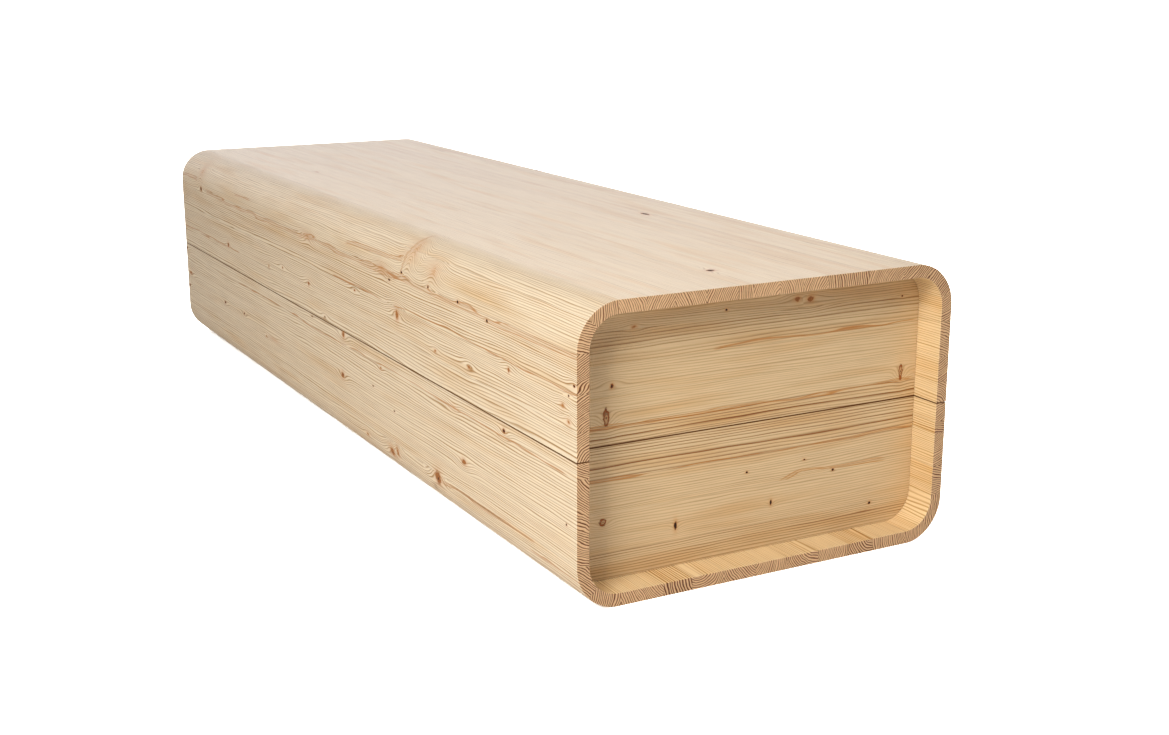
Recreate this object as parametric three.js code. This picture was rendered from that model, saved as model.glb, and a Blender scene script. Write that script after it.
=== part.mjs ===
// A plain spruce coffin. Two glued-up wooden troughs of the same rounded section, a base and a lid,
// meet at mid height. Each trough is closed near its ends by half of an end panel, which stands back
// from the rim and leaves a shallow recess. The lid only rests on the base and lifts off.
// Millimetres, +Z up. X runs along the coffin and the foot end is at +X. The origin is on the
// underside, under the middle.
import * as THREE from "three";

// The coffin's outside
const LENGTH = 2000; // over the two open rims
const WIDTH = 650; // over the long sides
const CORNER_RADIUS = 68; // outside radius of the four long corners

// The two shells
const BASE_HEIGHT = 220.8; // underside to the base's seam faces
const LID_HEIGHT = 220.8; // the lid's seam faces to its top
const SEAM_GAP = 0.4; // the hairline between the lid and the base
const WALL = 20; // thickness of the glued-up boards
const ARRIS = 1; // width of the small chamfer on the rims and along the seam
const LEAST_INNER_RADIUS = 2; // the cutter's, where the wall is as thick as the corner

// The end panels
const PANEL_THICKNESS = 20;
const END_RECESS = 52; // from a rim back to the face of its end panel
const PANEL_CLEARANCE = 0.3; // between an end panel and the shell round it

const ARC_SEGMENTS = 12; // three.js doubles this on an arc, so a corner has 24 flats
const INNER_RADIUS = Math.max(CORNER_RADIUS - WALL, LEAST_INNER_RADIUS);

const spruceLongGrain = new THREE.MeshStandardMaterial({ color: 0xe3cfae, roughness: 0.62, metalness: 0 });
const spruceEndPanel = new THREE.MeshStandardMaterial({ color: 0xd2b184, roughness: 0.62, metalness: 0 });

// Adds the outside of a trough to a path: down the right side, across the floor, up the left side.
function addOutsideOfTrough(path, halfWidth, floor, radius) {
  path.absarc(halfWidth - radius, floor + radius, radius, 0, -Math.PI / 2, true);
  path.absarc(radius - halfWidth, floor + radius, radius, -Math.PI / 2, -Math.PI, true);
}

// Adds the inside of a trough to a path: down the left side, across the floor, up the right side.
function addInsideOfTrough(path, halfWidth, floor, radius) {
  path.absarc(radius - halfWidth, floor + radius, radius, Math.PI, 1.5 * Math.PI, false);
  path.absarc(halfWidth - radius, floor + radius, radius, 1.5 * Math.PI, 2 * Math.PI, false);
}

// The section of a shell, open side up, with the arrises of its two seam faces.
function shellSection(height) {
  const outer = WIDTH / 2;
  const inner = outer - WALL;
  const section = new THREE.Shape();
  section.moveTo(outer - ARRIS, height);
  section.lineTo(outer, height - ARRIS);
  addOutsideOfTrough(section, outer, 0, CORNER_RADIUS);
  section.lineTo(-outer, height - ARRIS);
  section.lineTo(ARRIS - outer, height);
  section.lineTo(-inner - ARRIS, height);
  section.lineTo(-inner, height - ARRIS);
  addInsideOfTrough(section, inner, WALL, INNER_RADIUS);
  section.lineTo(inner, height - ARRIS);
  section.lineTo(inner + ARRIS, height);
  section.closePath();
  return section;
}

// The outline of half an end panel, which fills a shell's section up to the seam.
function panelOutline(height) {
  const halfWidth = WIDTH / 2 - WALL - PANEL_CLEARANCE;
  const outline = new THREE.Shape();
  outline.moveTo(halfWidth, height);
  addOutsideOfTrough(outline, halfWidth, WALL + PANEL_CLEARANCE, INNER_RADIUS - PANEL_CLEARANCE);
  outline.lineTo(-halfWidth, height);
  outline.closePath();
  return outline;
}

// Extrudes a section along X, centred on x = 0, with a chamfer of the given width at both ends.
function extrudeAlongX(section, length, chamfer) {
  const geometry = new THREE.ExtrudeGeometry(section, {
    depth: length - 2 * chamfer,
    curveSegments: ARC_SEGMENTS,
    bevelEnabled: chamfer > 0,
    bevelThickness: chamfer,
    bevelSize: chamfer,
    bevelOffset: -chamfer,
    bevelSegments: 1,
  });
  geometry.translate(0, 0, chamfer - length / 2);
  const across = new THREE.Vector3(0, 1, 0);
  const up = new THREE.Vector3(0, 0, 1);
  const along = new THREE.Vector3(1, 0, 0);
  geometry.applyMatrix4(new THREE.Matrix4().makeBasis(across, up, along));
  return geometry;
}

// One half of the coffin, open side up: its shell and its two half end panels.
function makeHalf(name, height) {
  const half = new THREE.Group();
  const shell = new THREE.Mesh(extrudeAlongX(shellSection(height), LENGTH, ARRIS), spruceLongGrain);
  shell.name = `${name}_shell`;
  half.add(shell);
  const panelCentre = LENGTH / 2 - END_RECESS - PANEL_THICKNESS / 2;
  for (const [end, side] of [["foot", 1], ["head", -1]]) {
    const panel = new THREE.Mesh(extrudeAlongX(panelOutline(height), PANEL_THICKNESS, 0), spruceEndPanel);
    panel.name = `${name}_end_panel_${end}`;
    panel.position.x = side * panelCentre;
    half.add(panel);
  }
  return half;
}

const coffin = new THREE.Group();
coffin.add(makeHalf("base", BASE_HEIGHT));

// The lid is a trough turned over about the coffin's long axis.
const lid = makeHalf("lid", LID_HEIGHT);
lid.rotation.x = Math.PI;
lid.position.z = BASE_HEIGHT + SEAM_GAP + LID_HEIGHT;
coffin.add(lid);

export default coffin;
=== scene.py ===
# A plain spruce coffin: a trough-shaped base, the same trough turned over as its lid, and four half end
# panels set back in the open ends. X runs along the coffin, the foot end is at +X, Z is up, metres.
import math
from functools import partial

import bpy
import numpy as np
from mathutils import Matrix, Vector


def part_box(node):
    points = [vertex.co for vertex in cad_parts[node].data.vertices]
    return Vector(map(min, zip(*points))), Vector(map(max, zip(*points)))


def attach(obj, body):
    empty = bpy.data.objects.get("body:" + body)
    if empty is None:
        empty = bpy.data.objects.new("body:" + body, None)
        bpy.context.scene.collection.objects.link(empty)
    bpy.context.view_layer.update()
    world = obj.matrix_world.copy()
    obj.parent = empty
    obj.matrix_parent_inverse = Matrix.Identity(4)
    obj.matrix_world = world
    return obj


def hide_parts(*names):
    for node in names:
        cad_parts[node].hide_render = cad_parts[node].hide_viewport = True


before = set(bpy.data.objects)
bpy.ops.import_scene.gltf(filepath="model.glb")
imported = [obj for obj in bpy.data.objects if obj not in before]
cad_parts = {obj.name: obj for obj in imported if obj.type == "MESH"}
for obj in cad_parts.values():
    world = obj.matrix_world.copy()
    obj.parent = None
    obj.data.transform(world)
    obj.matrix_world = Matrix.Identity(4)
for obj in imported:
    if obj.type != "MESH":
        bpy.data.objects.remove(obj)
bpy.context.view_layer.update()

# Base shell
# The lower trough. Spruce boards are glued edge to edge, its two long corners are shaped to a quarter
# round, and the whole is planed, sanded and oiled matt. Its ends and its seam faces have a fine arris.
MM = 0.001
base_low, base_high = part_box("base_shell")
LENGTH = (base_high.x - base_low.x) / MM
HALF_WIDTH = (base_high.y - base_low.y) / 2 / MM
BASE_HEIGHT = base_high.z / MM
WALL = 20.0
CORNER_RADIUS = 68.0
ARRIS = 0.8
SEAM_RELIEF = 0.3  # each seam face is sanded back by this much, so the seam shows as a thin dark line
FACE_LENGTH = 10.0  # of the mesh along the grain, short enough to keep knots apart
FLAT_STEP = 10.0  # and across the grain on the flat walls
ARC_STEP = 4.5  # and round the corners

# A station is a length in mm along the outside of a trough, from its seam on the camera's side, round
# the two corners, to its seam on the far side.
SIDE_END = BASE_HEIGHT - CORNER_RADIUS
CORNER_END = SIDE_END + CORNER_RADIUS * math.pi / 2
FLOOR_END = CORNER_END + 2 * (HALF_WIDTH - CORNER_RADIUS)
FAR_CORNER_END = FLOOR_END + CORNER_RADIUS * math.pi / 2
GIRTH = FAR_CORNER_END + SIDE_END


def trough_frame(station):
    """The outside of the base at a station: its (y, z), the way it runs, and the way into the wood."""
    mirrored = station > GIRTH / 2
    s = GIRTH - station if mirrored else station
    if s < SIDE_END:
        y, z, turn = -HALF_WIDTH, BASE_HEIGHT - s, 0.0
    elif s < CORNER_END:
        turn = (s - SIDE_END) / CORNER_RADIUS
        y = -HALF_WIDTH + CORNER_RADIUS * (1 - math.cos(turn))
        z = CORNER_RADIUS * (1 - math.sin(turn))
    else:
        y, z, turn = -HALF_WIDTH + CORNER_RADIUS + s - CORNER_END, 0.0, math.pi / 2
    run = (math.sin(turn), -math.cos(turn))
    inward = (math.cos(turn), math.sin(turn))
    if mirrored:
        return (-y, z), (run[0], -run[1]), (-inward[0], inward[1])
    return (y, z), run, inward


def trough_station(y, z):
    """The station of points of the base, anywhere in its wall."""
    out, up = np.abs(y) - (HALF_WIDTH - CORNER_RADIUS), CORNER_RADIUS - z
    on_side = BASE_HEIGHT - z
    on_corner = SIDE_END + CORNER_RADIUS * np.arctan2(up, np.maximum(out, 1e-6))
    on_floor = CORNER_END - out
    s = np.where(up <= 0, on_side, np.where(out <= 0, on_floor, on_corner))
    return np.where(y > 0, GIRTH - s, s)


# Each board of a trough: the station where it ends, how far the tree's pith lies from the middle of its
# outer face, across and into the wood, its ring width, all in mm, how strongly its rings show, and its
# tone, which is above zero where the board is darker and warmer than the rest.
BASE_BOARDS = (
    (24, -62, 60, 3.4, 1.0, 0.0),
    (151, -110, 95, 3.3, 1.0, -0.1),
    (204, 62, -50, 3.5, 1.1, 0.1),
    (262, -70, 14, 3.6, 1.1, 0.1),
    (333, 80, 60, 3.2, 0.8, 0.0),
    (381, 84, 44, 3.9, 2.0, 0.3),
    (436, -8, 40, 3.4, 0.8, 0.0),
    (492, 62, 60, 3.4, 0.9, -0.2),
    (548, -70, 50, 3.4, 0.7, 0.0),
    (606, 44, 54, 3.4, 0.9, 0.1),
    (662, -64, 40, 3.2, 0.7, -0.1),
    (710, 34, 40, 3.6, 1.2, 0.2),
    (774, 76, 40, 3.4, 0.8, 0.0),
    (826, -60, 56, 3.2, 0.9, 0.1),
    (884, 66, -50, 3.4, 0.9, -0.1),
    (931, -74, 50, 3.2, 0.9, 0.2),
    (985, 78, 50, 3.2, 0.8, -0.2),
    (1004, -60, 30, 3.4, 1.3, 0.4),
    (1034, 72, 50, 3.2, 0.8, 0.0),
)

# How each kind of mark in the wood is drawn: the softness of its edge and how hollow its brown ring is,
# from 0 to 1, how brown it is, the share of it that is black, its halo, how far it reaches beyond its own
# size along and across the grain in mm, how far it lifts the rings over it, as a share of its width, and
# how far the grain parts round it, from 0 to 1.
MARK_KINDS = {
    "knot": (0.30, 0.3, 0.70, 0.30, 0.45, 30, 11, 0.5, 0.85),
    "red knot": (0.45, 0.0, 0.50, 0.15, 0.50, 28, 10, 0.4, 0.85),
    "dark knot": (0.25, 0.0, 0.90, 0.65, 0.40, 22, 8, 0.6, 0.85),
    "ring knot": (0.20, 0.9, 1.00, 0.22, 0.15, 12, 4, 0.3, 0.85),
    "pin": (0.35, 0.0, 0.95, 0.80, 0.35, 9, 2, 0.3, 0.60),
    "faint knot": (0.80, 0.0, 0.40, 0.12, 0.30, 16, 6, 0.3, 0.85),
    "swirl": (1.00, 0.0, 0.00, 0.00, 0.12, 8, 4, 0.4, 0.0),
    "streak": (1.00, 0.0, 0.45, 0.00, 0.00, 10, 3, 0.0, 0.3),
    "grey streak": (1.00, 0.0, 0.10, 0.00, 0.00, 10, 3, 0.0, 0.3),
}

# The marks that show: kind, place along X, station, length along the grain and width across it, in mm.
BASE_MARKS = (
    ("knot", 84, 85, 15, 12),
    ("pin", 240, 70, 7, 3),
    ("pin", 338, 92, 7, 3),
    ("faint knot", 280, 28, 10, 6),
    ("red knot", 95, 6, 13, 13),
    ("dark knot", 773, 13, 10, 8),
    ("knot", 627, 102, 17, 10),
    ("pin", 970, 97, 5, 4),
    ("knot", 522, 159, 25, 24),
    ("streak", 690, 156, 280, 7),
    ("streak", 496, 184, 36, 26),
    ("red knot", 318, 172, 20, 20),
    ("faint knot", 346, 164, 14, 24),
    ("dark knot", -682, 90, 11, 6),
    ("dark knot", -536, 88, 10, 5),
    ("red knot", -970, 70, 18, 7),
    ("dark knot", -988, 104, 12, 6),
    ("dark knot", -992, 12, 10, 8),
    ("pin", -78, 5, 7, 4),
    ("faint knot", -380, 107, 10, 5),
    ("swirl", -330, 104, 90, 12),
    ("faint knot", 200, 170, 14, 8),
    ("swirl", 592, 22, 30, 10),
)


# Where a board's face just skims a ring, its latewood shows as a honey-coloured band with dark wavy
# edges. Each runs through these points, along X and at a station, and is so many mm wide.
BASE_BANDS = (
    (5, (545, 158), (640, 156), (740, 157), (860, 154)),
    (0.8, (-560, 24), (-300, 22), (0, 25), (320, 21), (600, 23), (1000, 24)),
    (3, (860, 172), (1000, 174)),
)


def scatter_marks(count, along_range, station_range, seed):
    """Marks for the sides that the photo doesn't show, at random, each a little longer than wide."""
    rng = np.random.default_rng(seed)
    marks = []
    for _ in range(count):
        kind = str(rng.choice(["knot", "red knot", "dark knot", "pin", "pin", "faint knot", "swirl"]))
        width = rng.uniform(3, 5) if kind == "pin" else rng.uniform(5, 13)
        marks.append((kind, rng.uniform(*along_range), rng.uniform(*station_range), width * 1.3, width))
    return tuple(marks)


def face_means(values, face_of_corner, face_count):
    """The mean over each face of a number that is known at its corners."""
    totals = np.bincount(face_of_corner, values, face_count)
    return totals / np.bincount(face_of_corner, minlength=face_count)


def store(mesh, name, *columns):
    """Keeps three numbers for each face corner, for the material to read."""
    values = np.stack(np.broadcast_arrays(*columns), axis=1).astype(np.float32)
    mesh.attributes.new(name, "FLOAT_VECTOR", "CORNER").data.foreach_set("vector", values.ravel())


def nearest_band(places, faces, face_of_corner, bands):
    """For each face corner, by the band nearest to its face: how far it lies to the left of the band's run,
    half the band's width, and how far it lies beyond the band's ends."""
    pieces = []
    for width, *points in bands:
        last = len(points) - 2
        for k, (start, stop) in enumerate(zip(points, points[1:])):
            pieces.append((*start, *stop, width / 2, k == 0, k == last))
    pieces = np.array(pieces, float)
    start, stop = pieces[:, 0:2], pieces[:, 2:4]
    length = np.hypot(*(stop - start).T)
    run = (stop - start) / length[:, None]
    from_start = faces[:, None] - start
    passed = np.clip((from_start * run).sum(2), 0, length)
    aside = np.hypot(*np.moveaxis(from_start - passed[..., None] * run, 2, 0))
    nearest = aside.argmin(1)[face_of_corner]
    offset = places - start[nearest]
    passed = (offset * run[nearest]).sum(1)
    left = offset[:, 1] * run[nearest, 0] - offset[:, 0] * run[nearest, 1]
    half_width, opens, closes = pieces[nearest, 4:].T
    beyond = np.maximum(-passed * opens, (passed - length[nearest]) * closes)
    return left, half_width, beyond


MARK_SPREAD = 1.3  # a mark reaches this many of its half sizes out, and its kind's own reach beyond that
TRUNK_LENGTH = 9000.0  # each board is cut from its own place along a trunk of this length
INSIDE_DEPTH = WALL - 1.0  # a face that lies deeper in the wall than this is an inside face


def lay_boards(mesh, along, station, section, frame_at, grain_axis, boards, marks, bands, seams, seed):
    """Gives each face corner its place in its own board, and its place beside the nearest mark.
    along and station are in mm for each vertex, and section is its place in the plane across the grain."""
    corner_count, face_count = len(mesh.loops), len(mesh.polygons)
    vertex = np.empty(corner_count, np.int32)
    mesh.loops.foreach_get("vertex_index", vertex)
    sizes = np.empty(face_count, np.int32)
    mesh.polygons.foreach_get("loop_total", sizes)
    normals = np.empty(face_count * 3, np.float32)
    mesh.polygons.foreach_get("normal", normals)
    face = np.repeat(np.arange(face_count), sizes)
    along, station, section = along[vertex], station[vertex], section[vertex]
    face_along = face_means(along, face, face_count)
    face_station = face_means(station, face, face_count)

    ends = np.array([b[0] for b in boards], float)
    starts = np.concatenate([[station.min()], ends[:-1]])
    board = np.minimum(np.searchsorted(ends, face_station), len(boards) - 1)[face]
    frames = [frame_at(middle) for middle in (starts + ends) / 2]
    origin, run, inward = (np.array([f[k] for f in frames])[board] for k in range(3))
    pith = np.array([b[1:3] for b in boards], float)[board]
    across = ((section - origin) * run).sum(1) - pith[:, 0]
    deep = ((section - origin) * inward).sum(1) - pith[:, 1]
    start_along = np.random.default_rng(seed).uniform(0, TRUNK_LENGTH, len(boards))[board]
    store(mesh, "grain_place", along + start_along, across, deep)

    figure = np.array([b[3:6] for b in boards], float)[board]
    store(mesh, "board_figure", *figure.T)

    faces = np.stack([face_along, face_station], 1)
    kinds = np.array([MARK_KINDS[m[0]] for m in marks], float)
    places = np.array([m[1:3] for m in marks], float)
    half_sizes = np.array([m[3:5] for m in marks], float) / 2
    reach = half_sizes * MARK_SPREAD + kinds[:, 5:7]
    mark = np.hypot(*np.moveaxis((faces[:, None] - places) / reach, 2, 0)).argmin(1)[face]
    lengthwise, crosswise = (np.stack([along, station], 1) - places[mark]).T
    softness, hollow, brown, heart, halo, _, _, lift, parting = kinds[mark].T
    half_length, half_width = half_sizes[mark].T
    store(mesh, "mark_core", lengthwise / half_length, crosswise / half_width, crosswise)
    store(mesh, "mark_flow", lengthwise / reach[mark, 0], crosswise / reach[mark, 1], lift * 2 * half_width)
    store(mesh, "mark_paint", brown, heart, halo)
    store(mesh, "mark_edge", softness, hollow, parting)

    store(mesh, "band", *nearest_band(np.stack([along, station], 1), faces, face, bands))

    joints = ends[:-1]
    nearest = joints[np.abs(face_station[:, None] - joints[None]).argmin(1)][face]
    end_grain = np.abs(normals.reshape(-1, 3)[:, grain_axis])[face]
    depth = face_means(((section - origin) * inward).sum(1), face, face_count)[face]
    store(mesh, "surface_kind", end_grain, depth > INSIDE_DEPTH, 0.0)
    from_seam = np.abs(station[:, None] - np.array(seams)).min(1)
    store(mesh, "edge_distance", station - nearest, from_seam, 0.0)


def add_node(tree, kind, inputs=(), **settings):
    """Adds a node with its settings. Its inputs come in order or by name, and each is a value, a socket, or
    a node, whose first output is then linked."""
    node = tree.nodes.new(kind)
    for name, value in settings.items():
        setattr(node, name, value)
    for name, value in inputs.items() if isinstance(inputs, dict) else enumerate(inputs):
        source = value.outputs[0] if isinstance(value, bpy.types.Node) else value
        if isinstance(source, bpy.types.NodeSocket):
            tree.links.new(source, node.inputs[name])
        else:
            node.inputs[name].default_value = source
    return node


def linear(hex_colour):
    """The linear colour of an sRGB hex value."""
    channels = [int(hex_colour[i:i + 2], 16) / 255 for i in (1, 3, 5)]
    return tuple(c / 12.92 if c <= 0.04045 else ((c + 0.055) / 1.055) ** 2.4 for c in channels) + (1.0,)


WANDER = 14.0  # how far the trunk's slow wander moves the rings, in mm
RIPPLE = 3.6  # and its ripple
WIDTHS_CHANGE_OVER = 12.0  # the rings' widths change over so many mm of the trunk's radius
WIDTHS_CHANGE_BY = 1.1  # and by this share of a ring
MARK_FADE = 1.6  # how fast the bent grain and the halo round a mark fade outwards
KNOT_RINGS = 16.0  # the waves of a knot's own rings from its middle to its edge, in radians
HEART_SHARPNESS = 5.0  # how sharply a knot's black heart ends
END_GRAIN_STRENGTH = 1.9  # the rings of end grain show this much stronger than those of a face
TONE_SHARE = 0.4  # how much a board's tone adds to its honey-coloured patches
END_GRAIN_DULLNESS = 0.2  # what end grain adds to the roughness of a planed face
KNOT_DULLNESS = 0.4  # and what a knot or the seam adds


def spruce(name, early, late, honey):
    """Oiled spruce. It is cut from a solid figure of growth rings, so faces and end grain agree: the
    rings stand round each board's pith, wander along the trunk and part round the knots."""
    material = bpy.data.materials.new(name)
    material.use_nodes = True
    tree = material.node_tree
    tree.nodes.clear()
    add = partial(add_node, tree)
    grain = add("ShaderNodeAttribute", attribute_name="grain_place").outputs["Vector"]
    given = {}
    for kept in ("board_figure", "mark_core", "mark_flow", "mark_paint", "mark_edge", "band",
                 "surface_kind", "edge_distance"):
        source = add("ShaderNodeAttribute", attribute_name=kept)
        given[kept] = add("ShaderNodeSeparateXYZ", [source.outputs["Vector"]]).outputs
    ring_width, contrast, tone = given["board_figure"]
    core_along, core_across, mark_offset = given["mark_core"]
    flow_along, flow_across, lift = given["mark_flow"]
    brown, heart, halo = given["mark_paint"]
    softness, hollow, parting = given["mark_edge"]
    band_offset, band_half_width, past_band = given["band"]
    end_share, inside, _ = given["surface_kind"]
    joint_offset, seam_distance, _ = given["edge_distance"]

    # Noise of several sizes in mm, along and across the grain: the trunk's slow wander and its ripple, the
    # fading of the rings, honey-coloured patches, and fibre bundles. The bundles are drawn 2 mm wide and
    # 60 mm long, because single fibres are too fine to show.
    noise = {}
    for use, length, width in (("wander", 500, 50), ("ripple", 110, 14), ("fading", 160, 9),
                               ("patches", 250, 25), ("fibres", 60, 2), ("roughness of a knot", 5, 4)):
        place = add("ShaderNodeVectorMath", [grain, (1 / length, 1 / width, 1 / width)], operation="MULTIPLY")
        noise[use] = add("ShaderNodeTexNoise", {"Vector": place, "Scale": 1.0, "Detail": 1.0})
    slow = add("ShaderNodeVectorMath", [noise["wander"].outputs["Color"], (0, WANDER, WANDER)],
               operation="MULTIPLY")
    both = add("ShaderNodeVectorMath", [noise["ripple"].outputs["Color"], (0, RIPPLE, RIPPLE), slow],
               operation="MULTIPLY_ADD")
    bent = add("ShaderNodeVectorMath", [grain, both], operation="ADD")
    _, across, deep = add("ShaderNodeSeparateXYZ", [bent]).outputs

    # Round a knot the grain parts, and the rings over it are lifted
    flow_place = add("ShaderNodeCombineXYZ", [flow_along, flow_across])
    flow_square = add("ShaderNodeVectorMath", [flow_place, flow_place], operation="DOT_PRODUCT")
    flow_fall = add("ShaderNodeMath", [flow_square.outputs["Value"], -MARK_FADE], operation="MULTIPLY")
    near_mark = add("ShaderNodeMath", [flow_fall], operation="EXPONENT")
    pull = add("ShaderNodeMath", [near_mark, parting], operation="MULTIPLY")
    pulled = add("ShaderNodeMath", [mark_offset, pull], operation="MULTIPLY")
    parted = add("ShaderNodeMath", [across, pulled], operation="SUBTRACT")
    from_pith = add("ShaderNodeCombineXYZ", [0.0, parted, deep])
    radius = add("ShaderNodeVectorMath", [from_pith], operation="LENGTH")
    lifted = add("ShaderNodeMath", [lift, near_mark], operation="MULTIPLY")
    ring_radius = add("ShaderNodeMath", [radius.outputs["Value"], lifted], operation="SUBTRACT")

    # Years differ: some rings are wide and some narrow, some are darker than others, and all fade in places
    year_place = add("ShaderNodeMath", [ring_radius, 1 / WIDTHS_CHANGE_OVER], operation="MULTIPLY")
    years = add("ShaderNodeTexNoise", {"W": year_place, "Scale": 1.0, "Detail": 1.0}, noise_dimensions="1D")
    ring_count = add("ShaderNodeMath", [ring_radius, ring_width], operation="DIVIDE")
    age = add("ShaderNodeMath", [years, WIDTHS_CHANGE_BY, ring_count], operation="MULTIPLY_ADD")
    season = add("ShaderNodeMath", [age], operation="FRACT")
    year = add("ShaderNodeMath", [age], operation="FLOOR")
    weather = add("ShaderNodeTexWhiteNoise", {"W": year}, noise_dimensions="1D")
    growth = add("ShaderNodeValToRGB", [season])
    for element in growth.color_ramp.elements:
        element.color = (0.35, 0.35, 0.35, 1)
    for position, value in ((0.08, 0.0), (0.50, 0.04), (0.74, 0.55), (0.88, 1.0)):
        growth.color_ramp.elements.new(position).color = (value, value, value, 1)
    strength = add("ShaderNodeMapRange", {"Value": weather.outputs["Value"], "To Min": 0.75, "To Max": 1.2})
    fading = add("ShaderNodeMapRange", {"Value": noise["fading"], "From Min": 0.3, "From Max": 0.7,
                                        "To Min": 0.7, "To Max": 1.15})
    shown_strength = add("ShaderNodeMath", [strength, fading], operation="MULTIPLY")
    shown = add("ShaderNodeMath", [growth, shown_strength], operation="MULTIPLY")
    latewood = add("ShaderNodeMath", [shown, contrast], operation="MULTIPLY", use_clamp=True)

    # A skimmed ring: it meanders with the ripple, pinches and widens with the fading
    meander = add("ShaderNodeMapRange", {"Value": noise["ripple"], "From Min": 0.25, "From Max": 0.75,
                                         "To Min": -3.5, "To Max": 3.5})
    band_place = add("ShaderNodeMath", [band_offset, meander], operation="ADD")
    pinch = add("ShaderNodeMapRange", {"Value": noise["fading"], "From Min": 0.3, "From Max": 0.7,
                                       "To Min": 0.4, "To Max": 1.4})
    band_reach = add("ShaderNodeMath", [band_half_width, pinch], operation="MULTIPLY")
    band_distance = add("ShaderNodeMath", [band_place], operation="ABSOLUTE")
    past_edge = add("ShaderNodeMath", [band_distance, band_reach], operation="SUBTRACT")
    band_fill = add("ShaderNodeMapRange", {"Value": past_edge, "From Min": 0.5, "From Max": -0.8,
                                           "To Max": 0.2})
    edge_distance = add("ShaderNodeMath", [past_edge], operation="ABSOLUTE")
    band_edge = add("ShaderNodeMapRange", {"Value": edge_distance, "From Min": 1.0, "From Max": 0.2,
                                           "To Max": 0.8})
    band_paint = add("ShaderNodeMath", [band_fill, band_edge], operation="MAXIMUM")
    band_end = add("ShaderNodeMapRange", {"Value": past_band, "From Max": 15.0, "To Min": 1.0, "To Max": 0.0})
    band = add("ShaderNodeMath", [band_paint, band_end], operation="MULTIPLY")

    # The face of a board with its honey-coloured patches and, inside the hollow, painted warm bounce light,
    # and the end grain. The arrises show as faces.
    end_grain = add("ShaderNodeMapRange", {"Value": end_share, "From Min": 0.75, "From Max": 0.95})
    toned = add("ShaderNodeMath", [tone, TONE_SHARE, noise["patches"]], operation="MULTIPLY_ADD")
    honeyed = add("ShaderNodeMapRange", {"Value": toned, "From Min": 0.5, "From Max": 1.05})
    face = add("ShaderNodeMix", {0: latewood, 6: linear(early), 7: linear(late)}, data_type="RGBA")
    banded = add("ShaderNodeMix", {0: band, 6: face.outputs[2], 7: linear("#b4701c")}, data_type="RGBA")
    patched = add("ShaderNodeMix", {0: honeyed, 6: banded.outputs[2], 7: linear(honey)}, data_type="RGBA",
                  blend_type="MULTIPLY")
    # Faces inside the hollow are multiplied by a pale warm tint: painted warm bounce light of the hollow.
    inside_painted_warm_bounce = add("ShaderNodeMix", {0: inside, 6: patched.outputs[2], 7: linear("#fff4dc")},
                    data_type="RGBA", blend_type="MULTIPLY")
    end_latewood = add("ShaderNodeMath", [latewood, END_GRAIN_STRENGTH], operation="MULTIPLY",
                       use_clamp=True)
    end = add("ShaderNodeMix", {0: end_latewood, 6: linear("#dcb285"), 7: linear("#5e300e")},
              data_type="RGBA")
    wood = add("ShaderNodeMix", {0: end_grain, 6: inside_painted_warm_bounce.outputs[2], 7: end.outputs[2]}, data_type="RGBA")

    # The fibres' shade, the thin dark lines of the glue joints, and painted shade along the seam between lid
    # and base
    fibre_shade = add("ShaderNodeMapRange", {"Value": noise["fibres"], "From Min": 0.3, "From Max": 0.7,
                                             "To Min": 0.94, "To Max": 1.05})
    joint_distance = add("ShaderNodeMath", [joint_offset], operation="ABSOLUTE")
    joint_shade = add("ShaderNodeMapRange", {"Value": joint_distance, "From Max": 0.6, "To Min": 0.78})
    both_shades = add("ShaderNodeMath", [fibre_shade, joint_shade], operation="MULTIPLY")
    planed = add("ShaderNodeVectorMath", {0: wood.outputs[2], "Scale": both_shades}, operation="SCALE")
    # Within about a millimetre of the seam the colour is mixed to dark brown: painted shade of the narrow gap
    # between lid and base.
    seam_painted_shade = add("ShaderNodeMapRange", {"Value": seam_distance, "From Min": 1.1, "From Max": 0.75,
                                         "To Max": 0.92})
    shaded = add("ShaderNodeMix", {0: seam_painted_shade, 6: planed, 7: linear("#6e4008")}, data_type="RGBA").outputs[2]

    # A mark: the halo in the wood round it, then the brown knot with its own fine rings, then its black heart
    core_place = add("ShaderNodeCombineXYZ", [core_along, core_across])
    core_length = add("ShaderNodeVectorMath", [core_place], operation="LENGTH")
    uneven = add("ShaderNodeMapRange", {"Value": noise["roughness of a knot"], "From Min": 0.25,
                                        "From Max": 0.75, "To Min": -0.22, "To Max": 0.22})
    core_radius = add("ShaderNodeMath", [core_length.outputs["Value"], uneven], operation="ADD")
    halo_fall = add("ShaderNodeMath", [core_radius, -MARK_FADE, MARK_FADE], operation="MULTIPLY_ADD")
    halo_spread = add("ShaderNodeMath", [halo_fall], operation="EXPONENT")
    halo_cover = add("ShaderNodeMath", [halo_spread, halo], operation="MULTIPLY", use_clamp=True)
    with_halo = add("ShaderNodeMix", {0: halo_cover, 6: shaded, 7: linear("#c4803a")}, data_type="RGBA")

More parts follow.
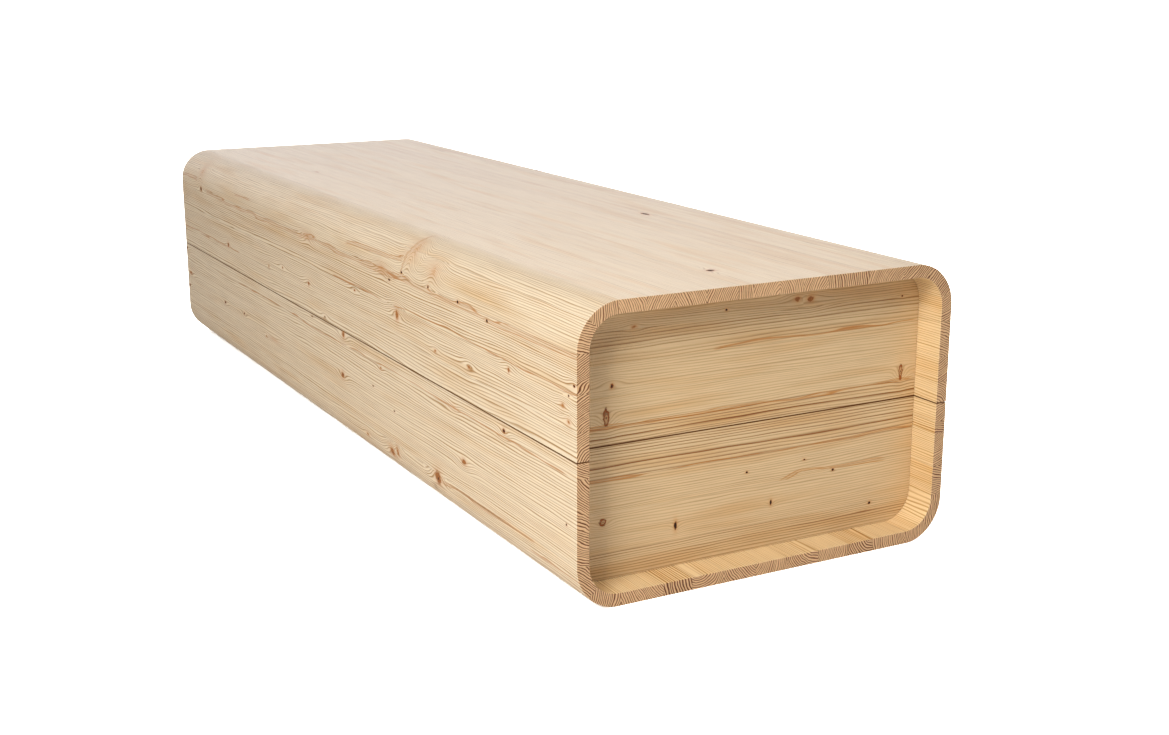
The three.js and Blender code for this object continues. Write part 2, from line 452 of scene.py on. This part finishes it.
    within = add("ShaderNodeMath", [1.0, core_radius], operation="SUBTRACT")
    cover = add("ShaderNodeMath", [within, softness], operation="DIVIDE", use_clamp=True)
    middle = add("ShaderNodeMapRange", {"Value": core_radius, "From Min": 0.65, "From Max": 0.25})
    hollowed = add("ShaderNodeMath", [middle, hollow], operation="MULTIPLY")
    solid = add("ShaderNodeMath", [1.0, hollowed], operation="SUBTRACT")
    brown_share = add("ShaderNodeMath", [cover, brown], operation="MULTIPLY")
    brown_cover = add("ShaderNodeMath", [brown_share, solid], operation="MULTIPLY")
    knot_waves = add("ShaderNodeMath", [core_radius, KNOT_RINGS], operation="MULTIPLY")
    knot_rings = add("ShaderNodeMath", [knot_waves], operation="SINE")
    knot_shade = add("ShaderNodeMapRange", {"Value": knot_rings, "From Min": -1.0})
    knot = add("ShaderNodeMix", {0: knot_shade, 6: linear("#9a5218"), 7: linear("#5e2c0a")}, data_type="RGBA")
    with_knot = add("ShaderNodeMix", {0: brown_cover, 6: with_halo.outputs[2], 7: knot.outputs[2]},
                    data_type="RGBA")

    in_heart = add("ShaderNodeMath", [heart, core_radius], operation="SUBTRACT")
    heart_cover = add("ShaderNodeMath", [in_heart, HEART_SHARPNESS], operation="MULTIPLY", use_clamp=True)
    with_heart = add("ShaderNodeMix", {0: heart_cover, 6: with_knot.outputs[2], 7: linear("#2c1505")},
                     data_type="RGBA")

    # Latewood is denser and a little glossier than earlywood. End grain drinks the oil and dulls, and so do
    # knots and the seam.
    gloss = add("ShaderNodeMapRange", {"Value": latewood, "To Min": 0.46, "To Max": 0.38})
    wood_roughness = add("ShaderNodeMath", [end_grain, END_GRAIN_DULLNESS, gloss], operation="MULTIPLY_ADD")
    dark_cover = add("ShaderNodeMath", [heart_cover, seam_painted_shade], operation="MAXIMUM")
    dull = add("ShaderNodeMath", [brown_cover, dark_cover], operation="MAXIMUM")
    roughness = add("ShaderNodeMath", [dull, KNOT_DULLNESS, wood_roughness], operation="MULTIPLY_ADD")
    bump = add("ShaderNodeBump", {"Strength": 0.1, "Distance": 0.0001, "Height": shown})
    shader = add("ShaderNodeBsdfPrincipled", {"Base Color": with_heart.outputs[2], "Roughness": roughness,
                                              "IOR": 1.48, "Normal": bump})
    add("ShaderNodeOutputMaterial", {"Surface": shader})
    return material


# The long sides and the top show spruce along the grain: pale cream with thin straw-brown rings.
shell_spruce = spruce("oiled_spruce_boards", early="#ecd8b8", late="#a06c0c", honey="#f0d9b4")

WALL_INPUTS = (("Path", "Geometry"), ("Grain", "Vector"), ("Length", "Float"), ("Thickness", "Float"),
               ("Faces Along", "Int"), ("Material", "Material"))


def bent_wall_tree():
    """A wall of even thickness that follows a path. The path is the object's own chain of edges, on the
    wall's outside, and lies in a plane across the grain."""
    tree = bpy.data.node_groups.new("bent_wall", "GeometryNodeTree")
    for name, kind in WALL_INPUTS:
        tree.interface.new_socket(name=name, in_out="INPUT", socket_type=f"NodeSocket{kind}")
    tree.interface.new_socket(name="Wall", in_out="OUTPUT", socket_type="NodeSocketGeometry")
    given = add_node(tree, "NodeGroupInput").outputs
    path = add_node(tree, "GeometryNodeMeshToCurve", {"Mesh": given["Path"]})
    upright = add_node(tree, "GeometryNodeSetCurveNormal", {"Curve": path.outputs[0],
                                                            "Normal": given["Grain"]}, mode="FREE")
    along_count = add_node(tree, "ShaderNodeMath", {0: given["Faces Along"], 1: 1.0}, operation="ADD")
    plank = add_node(tree, "GeometryNodeMeshGrid", {"Size X": given["Length"], "Size Y": given["Thickness"],
                                                    "Vertices X": along_count.outputs[0], "Vertices Y": 4})
    neighbours = add_node(tree, "GeometryNodeInputMeshEdgeNeighbors")
    rim = add_node(tree, "FunctionNodeCompare", {"A": neighbours.outputs[0], "B": 1.0}, operation="EQUAL")
    outline = add_node(tree, "GeometryNodeMeshToCurve", {"Mesh": plank.outputs["Mesh"],
                                                         "Selection": rim.outputs[0]})
    half_inward = add_node(tree, "ShaderNodeMath", {0: given["Thickness"], 1: -0.5}, operation="MULTIPLY")
    inward = add_node(tree, "ShaderNodeCombineXYZ", {1: half_inward.outputs[0]})
    seated = add_node(tree, "GeometryNodeTransform", {"Geometry": outline.outputs[0],
                                                      "Translation": inward.outputs[0]})
    wall = add_node(tree, "GeometryNodeCurveToMesh", {"Curve": upright.outputs[0],
                                                      "Profile Curve": seated.outputs[0], "Fill Caps": True})
    outward = add_node(tree, "GeometryNodeFlipFaces", {"Mesh": wall.outputs[0]})
    smooth = add_node(tree, "GeometryNodeSetShadeSmooth", {"Geometry": outward.outputs[0]})
    real = add_node(tree, "GeometryNodeRealizeInstances", {"Geometry": smooth.outputs[0]})
    finished = add_node(tree, "GeometryNodeSetMaterial", {"Geometry": real.outputs[0],
                                                          "Material": given["Material"]})
    add_node(tree, "NodeGroupOutput", {"Wall": finished.outputs[0]})
    return tree


def path_stations(boards):
    """The stations of a trough's path: every joint and every change of curve, with even steps between."""
    turns = [SEAM_RELIEF, SIDE_END, CORNER_END, FLOOR_END, FAR_CORNER_END, GIRTH - SEAM_RELIEF]
    keys = sorted(set(turns) | {float(b[0]) for b in boards[:-1]})
    stations = [SEAM_RELIEF]
    for start, end in zip(keys, keys[1:]):
        middle = (start + end) / 2
        in_corner = SIDE_END < middle < CORNER_END or FLOOR_END < middle < FAR_CORNER_END
        count = math.ceil((end - start) / (ARC_STEP if in_corner else FLAT_STEP))
        stations += [start + (end - start) * (k + 1) / count for k in range(count)]
    return stations


def set_input(modifier, name, value):
    """Sets an input of a Geometry Nodes modifier by its identifier."""
    items = modifier.node_group.interface.items_tree
    identifier = next(i.identifier for i in items if i.name == name and i.in_out == "INPUT")
    modifier[identifier] = value


def ease_arrises(piece, width):
    """Rounds the sharp edges of a piece as sandpaper does."""
    bevel = piece.modifiers.new("arris", "BEVEL")
    bevel.width = width * MM
    bevel.segments = 3
    bevel.limit_method = "ANGLE"
    bevel.angle_limit = math.radians(50)
    bevel.harden_normals = True


def finished_mesh(piece):
    """Turns a piece with its modifiers into a plain mesh."""
    evaluated = piece.evaluated_get(bpy.context.evaluated_depsgraph_get())
    mesh = bpy.data.meshes.new_from_object(evaluated)
    piece.modifiers.clear()
    piece.data = mesh
    mesh.name = piece.name
    return mesh


wall_tree = bent_wall_tree()


def plank_along_path(name, tree, path, grain, length, thickness, slot_material, **shape):
    """Bends a glued-up board of the given length along the grain to a path, in mm. The tree that does it
    may take more sizes than these."""
    mesh = bpy.data.meshes.new(name)
    mesh.from_pydata([Vector(p) * MM for p in path], [(k, k + 1) for k in range(len(path) - 1)], [])
    piece = bpy.data.objects.new(name, mesh)
    bpy.context.scene.collection.objects.link(piece)
    build = piece.modifiers.new("wall", "NODES")
    build.node_group = tree
    set_input(build, "Grain", grain)
    set_input(build, "Length", length * MM)
    set_input(build, "Thickness", thickness * MM)
    set_input(build, "Faces Along", round(length / FACE_LENGTH))
    set_input(build, "Material", slot_material)
    for size, value in shape.items():
        set_input(build, size.replace("_", " ").title(), value)
    return piece


def vertex_places(mesh):
    """The x, y and z of a mesh's vertices in mm."""
    place = np.empty(len(mesh.vertices) * 3, np.float32)
    mesh.vertices.foreach_get("co", place)
    return place.reshape(-1, 3).astype(float).T / MM


def make_shell(node, boards, marks, bands, turned_over, seed):
    """One trough, the base's or, upside down, the lid's."""
    _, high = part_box(node)
    path = []
    for station in path_stations(boards):
        (y, z), _, _ = trough_frame(station)
        path.append((0.0, y, high.z / MM - z if turned_over else z))
    if turned_over:
        path.reverse()
    shell = plank_along_path(f"{node}_glued", wall_tree, path, (1, 0, 0), LENGTH, WALL, shell_spruce)
    ease_arrises(shell, ARRIS)
    mesh = finished_mesh(shell)
    x, y, z = vertex_places(mesh)
    if turned_over:
        z = high.z / MM - z
    lay_boards(mesh, x, trough_station(y, z), np.stack([y, z], 1), trough_frame, 0, boards, marks, bands,
               (0.0, GIRTH), seed)
    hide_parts(node)
    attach(shell, "root")


ALONG_RANGE = (20 - LENGTH / 2, LENGTH / 2 - 20)
hidden_base_marks = scatter_marks(46, ALONG_RANGE, (300, GIRTH), seed=11)
make_shell("base_shell", BASE_BOARDS, BASE_MARKS + hidden_base_marks, BASE_BANDS, False, seed=3)

# Lid shell
# The upper trough, glued and shaped as the base is. It lies loose on the base, seam face on seam face,
# and the seam shows as a dark hairline. Its stations run from the seam on the camera's side too.
LID_BOARDS = (
    (43, -44, 60, 3.3, 1.0, 0.0),
    (96, -76, 68, 3.2, 1.1, 0.0),
    (152, -84, 74, 3.2, 1.2, 0.1),
    (203, -92, 18, 3.3, 0.85, 0.1),
    (256, -84, -16, 3.3, 0.8, 0.0),
    (300, -70, 50, 3.2, 0.6, 0.0),
    (345, 72, 50, 3.2, 0.7, -0.1),
    (397, -70, 60, 3.4, 0.7, 0.0),
    (449, 80, 50, 3.2, 0.8, -0.1),
    (475, -60, 26, 3.2, 0.8, 0.2),
    (520, 76, 60, 3.2, 0.6, 0.0),
    (562, -70, 50, 3.2, 0.7, 0.05),
    (605, 84, 60, 3.2, 0.7, 0.0),
    (680, -96, 40, 3.9, 1.0, 0.05),
    (745, 70, 50, 3.4, 0.8, 0.0),
    (800, -66, -46, 3.4, 1.1, 0.1),
    (860, 72, 20, 3.6, 1.1, 0.0),
    (905, -70, 54, 3.2, 0.9, 0.2),
    (960, 78, 50, 3.2, 0.8, -0.1),
    (1000, -70, 50, 3.3, 0.9, 0.1),
    (1034, 66, 60, 3.2, 0.8, 0.0),
)

LID_MARKS = (
    ("dark knot", -833, 151, 12, 10),
    ("swirl", -845, 190, 50, 50),
    ("streak", -882, 194, 36, 5),
    ("knot", -632, 50, 13, 10),
    ("streak", -590, 94, 44, 4),
    ("streak", -830, 97, 110, 4),
    ("faint knot", -340, 50, 10, 6),
    ("knot", -248, 62, 7, 5),
    ("knot", -90, 57, 10, 8),
    ("dark knot", -3, 8, 6, 4),
    ("knot", 163, 89, 9, 4),
    ("pin", 332, 138, 11, 4),
    ("pin", 388, 160, 7, 5),
    ("swirl", 410, 206, 40, 70),
    ("red knot", 363, 83, 15, 18),
    ("dark knot", 500, 155, 7, 6),
    ("swirl", 510, 182, 50, 40),
    ("pin", 615, 152, 7, 6),
    ("pin", 720, 143, 8, 6),
    ("faint knot", 523, 55, 10, 6),
    ("knot", 653, 57, 7, 5),
    ("knot", 792, 84, 8, 7),
    ("faint knot", 960, 72, 12, 9),
    ("pin", 977, 90, 5, 4),
    ("faint knot", 977, 53, 11, 8),
    ("dark knot", 993, 107, 7, 5),
    ("streak", 180, 153, 26, 4),
    ("grey streak", 60, 101, 160, 9),
    ("grey streak", 205, 98, 130, 7),
    ("swirl", -84, 150, 60, 24),
    ("swirl", 300, 152, 60, 24),
    ("dark knot", 378, 668, 30, 10),
    ("dark knot", 886, 476, 14, 14),
    ("faint knot", -470, 349, 12, 7),
    ("dark knot", -265, 779, 20, 8),
)
hidden_lid_marks = scatter_marks(18, ALONG_RANGE, (800, GIRTH), seed=12)
LID_BANDS = (
    (8, (-780, 149), (-600, 144), (-420, 146), (-250, 143), (-130, 146), (-60, 150), (60, 147), (200, 146),
     (310, 150), (400, 151), (520, 144), (620, 149), (720, 146), (860, 147), (1000, 148)),
    (4, (-990, 168), (-880, 169)),
    (3, (-560, 171), (-470, 172)),
    (8, (132, 173), (240, 175), (324, 176), (382, 184)),
    (0.8, (60, 99), (300, 97), (600, 100), (820, 98), (1000, 95)),
    (5, (386, 158), (388, 186), (394, 212), (402, 238)),
    (2, (-990, 46), (-700, 45), (-560, 46)),
)
make_shell("lid_shell", LID_BOARDS, LID_MARKS + hidden_lid_marks, LID_BANDS, True, seed=5)

# End panels
# Half a panel closes each end of each trough. The grain lies across the coffin. A panel is glued into its
# trough 52 mm back from the rim, where less light comes. Its spruce is drawn darker and warmer than the
# sides': partly a richer honey colour of its own, partly painted shade of the recess.
PANEL_ARRIS = 0.5
LEAST_FIRST_ROW = PANEL_ARRIS * 1.5  # of the mesh, so that the arris fits in it
LEAST_ROW = 1.0  # on either side of a joint

# These colours are darker and warmer than the sides': the panels' own honey tone with painted shade of the
# recess on top.
panel_spruce_with_painted_shade = spruce("oiled_spruce_end_panels_painted_shade", early="#dabc8f", late="#84500c", honey="#ecd0a4")
FITTING_INPUTS = (("Bottom", "Float"), ("Upward", "Float"), ("Corner Radius", "Float"))


def panel_tree():
    """A glued board with its bottom corners rounded to fit a trough. Its path runs up its middle."""
    tree = bpy.data.node_groups.new("panel_in_trough", "GeometryNodeTree")
    for name, kind in WALL_INPUTS + FITTING_INPUTS:
        tree.interface.new_socket(name=name, in_out="INPUT", socket_type=f"NodeSocket{kind}")
    tree.interface.new_socket(name="Panel", in_out="OUTPUT", socket_type="NodeSocketGeometry")
    given = add_node(tree, "NodeGroupInput").outputs
    plank = add_node(tree, "GeometryNodeGroup", node_tree=wall_tree)
    for name, _ in WALL_INPUTS:
        tree.links.new(given[name], plank.inputs[name])
    place = add_node(tree, "GeometryNodeInputPosition").outputs[0]
    x, y, z = add_node(tree, "ShaderNodeSeparateXYZ", {0: place}).outputs
    above = add_node(tree, "ShaderNodeMath", {0: z, 1: given["Bottom"]}, operation="SUBTRACT")
    height = add_node(tree, "ShaderNodeMath", {0: above.outputs[0], 1: given["Upward"]}, operation="MULTIPLY")
    share = add_node(tree, "ShaderNodeMath", {0: height.outputs[0], 1: given["Corner Radius"]},
                     operation="DIVIDE", use_clamp=True)
    rise = add_node(tree, "ShaderNodeMath", {0: 1.0, 1: share.outputs[0]}, operation="SUBTRACT")
    rise_square = add_node(tree, "ShaderNodeMath", {0: rise.outputs[0], 1: 2.0}, operation="POWER")
    run_square = add_node(tree, "ShaderNodeMath", {0: 1.0, 1: rise_square.outputs[0]}, operation="SUBTRACT")
    run = add_node(tree, "ShaderNodeMath", {0: run_square.outputs[0]}, operation="SQRT")
    short = add_node(tree, "ShaderNodeMath", {0: 1.0, 1: run.outputs[0]}, operation="SUBTRACT")
    inset = add_node(tree, "ShaderNodeMath", {0: short.outputs[0], 1: given["Corner Radius"]},
                     operation="MULTIPLY")
    half_length = add_node(tree, "ShaderNodeMath", {0: given["Length"], 1: 0.5}, operation="MULTIPLY")
    inset_share = add_node(tree, "ShaderNodeMath", {0: inset.outputs[0], 1: half_length.outputs[0]},
                           operation="DIVIDE")
    narrowing = add_node(tree, "ShaderNodeMath", {0: 1.0, 1: inset_share.outputs[0]}, operation="SUBTRACT")
    narrowed = add_node(tree, "ShaderNodeMath", {0: y, 1: narrowing.outputs[0]}, operation="MULTIPLY")
    fitted = add_node(tree, "ShaderNodeCombineXYZ", {0: x, 1: narrowed.outputs[0], 2: z})
    panel = add_node(tree, "GeometryNodeSetPosition", {"Geometry": plank.outputs[0],
                                                       "Position": fitted.outputs[0]})
    real = add_node(tree, "GeometryNodeRealizeInstances", {"Geometry": panel.outputs[0]})
    finished = add_node(tree, "GeometryNodeSetMaterial", {"Geometry": real.outputs[0],
                                                          "Material": given["Material"]})
    add_node(tree, "NodeGroupOutput", {"Panel": finished.outputs[0]})
    return tree


fitted_tree = panel_tree()


def panel_rows(bottom, seam, corner_radius, joints):
    """The heights of a panel's rows: closer together round its corners, and one on every joint. The first
    row is taller than the arris is wide."""
    up = 1 if seam > bottom else -1
    corner_steps = math.ceil(corner_radius * math.pi / 2 / ARC_STEP)
    turns = [k / corner_steps * math.pi / 2 for k in range(1, corner_steps + 1)]
    heights = [corner_radius * (1 - math.cos(turn)) for turn in turns]
    heights = [0.0] + [h for h in heights if h > LEAST_FIRST_ROW]
    flat = abs(seam - bottom) - corner_radius
    steps = math.ceil(flat / FLAT_STEP)
    heights += [corner_radius + flat * (k + 1) / steps for k in range(steps)]
    rows = [bottom + up * h for h in heights]
    rows = [r for r in rows if min(abs(r - j) for j in joints) > LEAST_ROW]
    return sorted(rows + list(joints), reverse=up < 0)


def make_panel(node, boards, marks, bands, seed):
    """One half end panel, glued between the sides of its trough."""
    low, high = (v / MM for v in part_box(node))
    foot_end = high.x > 0
    in_lid = low.z > BASE_HEIGHT
    bottom, seam, upward = (high.z, low.z, -1) if in_lid else (low.z, high.z, 1)
    clearance = HALF_WIDTH - WALL - high.y
    corner_radius = CORNER_RADIUS - WALL - clearance
    face = high.x if foot_end else low.x
    rows = panel_rows(bottom, seam - upward * SEAM_RELIEF, corner_radius, [b[0] for b in boards[:-1]])
    path = [(face, 0.0, z) for z in rows]
    if foot_end != in_lid:
        path.reverse()
    panel = plank_along_path(
        f"{node}_glued", fitted_tree, path, (0, 1, 0), high.y * 2, high.x - low.x, panel_spruce_with_painted_shade,
        bottom=bottom * MM, upward=float(upward), corner_radius=corner_radius * MM)
    ease_arrises(panel, PANEL_ARRIS)
    mesh = finished_mesh(panel)
    x, y, z = vertex_places(mesh)

    def board_frame(height):
        return (face, height), (0.0, 1.0), (-1.0 if foot_end else 1.0, 0.0)

    lay_boards(mesh, y, z, np.stack([x, z], 1), board_frame, 1, boards, marks, bands, (seam,), seed)
    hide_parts(node)
    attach(panel, "root")


# Boards as above, but each ends at a height. The marks lie at a place across the coffin and a height.
BASE_PANEL_BOARDS = (
    (60, -90, 50, 3.4, 0.9, 0.1),
    (121, 90, 50, 3.6, 0.5, -0.1),
    (170, -90, 50, 3.6, 0.6, -0.1),
    (222, 96, 24, 5.0, 0.95, 0.25),
)
LID_PANEL_BOARDS = (
    (250, -90, 20, 5.0, 1.1, 0.25),
    (293, 86, 50, 3.6, 0.5, -0.1),
    (338, -90, 40, 3.8, 0.5, -0.1),
    (385, 96, 30, 4.8, 0.75, 0.25),
    (423, -80, 40, 3.4, 0.7, 0.1),
)
BASE_PANEL_MARKS = (
    ("pin", -9, 144, 5, 4),
    ("pin", 96, 148, 5, 3),
    ("pin", 151, 123, 5, 5),
    ("ring knot", -255, 108, 13, 13),
    ("pin", -133, 82, 6, 16),
    ("pin", 36, 89, 5, 10),
    ("pin", 225, 57, 6, 5),
    ("streak", 215, 45, 60, 5),
)
LID_PANEL_MARKS = (
    ("dark knot", -241, 307, 6, 8),
    ("ring knot", -250, 262, 11, 28),
    ("ring knot", 275, 264, 8, 28),
    ("pin", -52, 396, 5, 4),
    ("knot", 73, 399, 10, 8),
    ("knot", 97, 397, 12, 9),
    ("faint knot", -206, 388, 10, 6),
    ("dark knot", -135, 411, 6, 4),
    ("pin", 271, 384, 4, 3),
)
BASE_PANEL_BANDS = (
    (2, (-290, 171), (290, 171)),
    (3, (60, 124), (90, 130), (150, 128), (240, 124)),
)
LID_PANEL_BANDS = (
    (2, (-290, 248), (290, 249)),
    (2, (-60, 342), (290, 344)),
)
make_panel("base_end_panel_foot", BASE_PANEL_BOARDS, BASE_PANEL_MARKS, BASE_PANEL_BANDS, seed=21)
make_panel("lid_end_panel_foot", LID_PANEL_BOARDS, LID_PANEL_MARKS, LID_PANEL_BANDS, seed=22)
hidden_marks = scatter_marks(7, (-290, 290), (40, 215), seed=31)
make_panel("base_end_panel_head", BASE_PANEL_BOARDS, hidden_marks, BASE_PANEL_BANDS, seed=23)
hidden_marks = scatter_marks(7, (-290, 290), (230, 400), seed=32)
make_panel("lid_end_panel_head", LID_PANEL_BOARDS, hidden_marks, LID_PANEL_BANDS, seed=24)

# Floor
# A plain pale sheet with white walls far off, so it is white all round as in the photo. It would throw
# light on the coffin, which the photo doesn't show. So the sheet with its own light takes no part in
# bounced light, and a like sheet under it, unseen by the camera and lit by the studio alone, does.
FLOOR_SIZE = 100.0
BACKDROP_HEIGHT = 40.0


def make_sheet(name, height, backdrop_height):
    """A square sheet under the coffin, and white walls on its edges if they have a height."""
    half = FLOOR_SIZE / 2
    mesh = bpy.data.meshes.new(name)
    corners = [(-half, -half), (half, -half), (half, half), (-half, half)]
    points = [(x, y, z) for z in (height, backdrop_height) for x, y in corners]
    walls = [(k, k + 4, (k + 1) % 4 + 4, (k + 1) % 4) for k in range(4)] if backdrop_height else []
    mesh.from_pydata(points if walls else points[:4], [], [(0, 1, 2, 3)] + walls)
    sheet = bpy.data.objects.new(name, mesh)
    bpy.context.scene.collection.objects.link(sheet)
    paper = bpy.data.materials.new(f"{name}_paper")
    paper.use_nodes = True
    paper.node_tree.nodes["Principled BSDF"].inputs["Base Color"].default_value = linear("#f6f5f3")
    paper.node_tree.nodes["Principled BSDF"].inputs["Roughness"].default_value = 0.8
    mesh.materials.append(paper)
    return sheet


white_sheet = make_sheet("white_sheet", 0.0, BACKDROP_HEIGHT)
white_sheet.visible_diffuse = False
white_sheet.visible_glossy = False
white_sheet.visible_shadow = False
under_sheet = make_sheet("under_sheet", -2 * MM, 0.0)
under_sheet.visible_camera = False

# Studio light
# A window-sized soft light on the camera's side, a white wall of light beyond the head end, weaker sheets
# of light overhead, behind the coffin and above the foot end, and a wide light for the white sheet alone.
# The window isn't mirrored in the wood, because seen from behind it would burn a white patch in the lid.
world = bpy.data.worlds.new("white_studio")
world.use_nodes = True
world.node_tree.nodes["Background"].inputs["Color"].default_value = (1, 1, 1, 1)
world.node_tree.nodes["Background"].inputs["Strength"].default_value = 0.1
bpy.context.scene.world = world


def add_light(name, kind, power, place, target):
    """A light at a place, turned to a target."""
    light = bpy.data.lights.new(name, kind)
    light.energy = power
    lamp = bpy.data.objects.new(name, light)
    lamp.location = place
    lamp.rotation_euler = (Vector(target) - Vector(place)).to_track_quat("-Z", "Y").to_euler()
    bpy.context.scene.collection.objects.link(lamp)
    return lamp


for name, width, height, power, colour, place, target in (
    ("window_light", 1.6, 1.6, 146, "#ffffff", (2.65, -3.1, 2.2), (0.3, 0.0, 0.2)),
    ("overhead_light", 5.0, 5.0, 10, "#ffffff", (0.0, 0.3, 4.0), (0.0, 0.0, 0.0)),
    ("white_wall_light", 9.0, 3.2, 240, "#fff9fc", (-7.0, 2.0, 1.6), (0.0, 0.0, 0.6)),
    ("foot_end_light", 2.0, 2.0, 46, "#ffffff", (2.6, 0.2, 3.4), (0.9, 0.0, 0.3)),
    ("back_light", 3.0, 1.6, 110, "#ffffff", (-1.0, 4.5, 1.0), (0.0, 0.0, 0.2)),
):
    lamp = add_light(name, "AREA", power, place, target)
    lamp.visible_glossy = name != "window_light"
    softbox = lamp.data
    softbox.shape = "RECTANGLE"
    softbox.color = linear(colour)[:3]
    softbox.size = width
    softbox.size_y = height

sheet_lamp = add_light("sheet_light", "SUN", 11.5, (0.0, 0.0, 6.0), (0.0, 0.0, 0.0))
sheet_lamp.data.angle = math.radians(140)
sheet_only = bpy.data.collections.new("lit_by_sheet_light")
sheet_only.objects.link(white_sheet)
sheet_lamp.light_linking.receiver_collection = sheet_only

# Camera
# Solved from the photo's edges: it stands off the foot end, on the -Y side, and looks a little down.
camera_data = bpy.data.cameras.new("photo_camera")
camera_data.sensor_width = 36.0
camera_data.lens = 48.33
camera = bpy.data.objects.new("photo_camera", camera_data)
camera.location = (2.7824, -1.2889, 0.8761)
looks_along = Vector((-0.84959, 0.46514, -0.24868))
camera.rotation_euler = looks_along.to_track_quat("-Z", "Y").to_euler()
bpy.context.scene.collection.objects.link(camera)
bpy.context.scene.camera = camera
bpy.context.scene.view_settings.view_transform = "Standard"
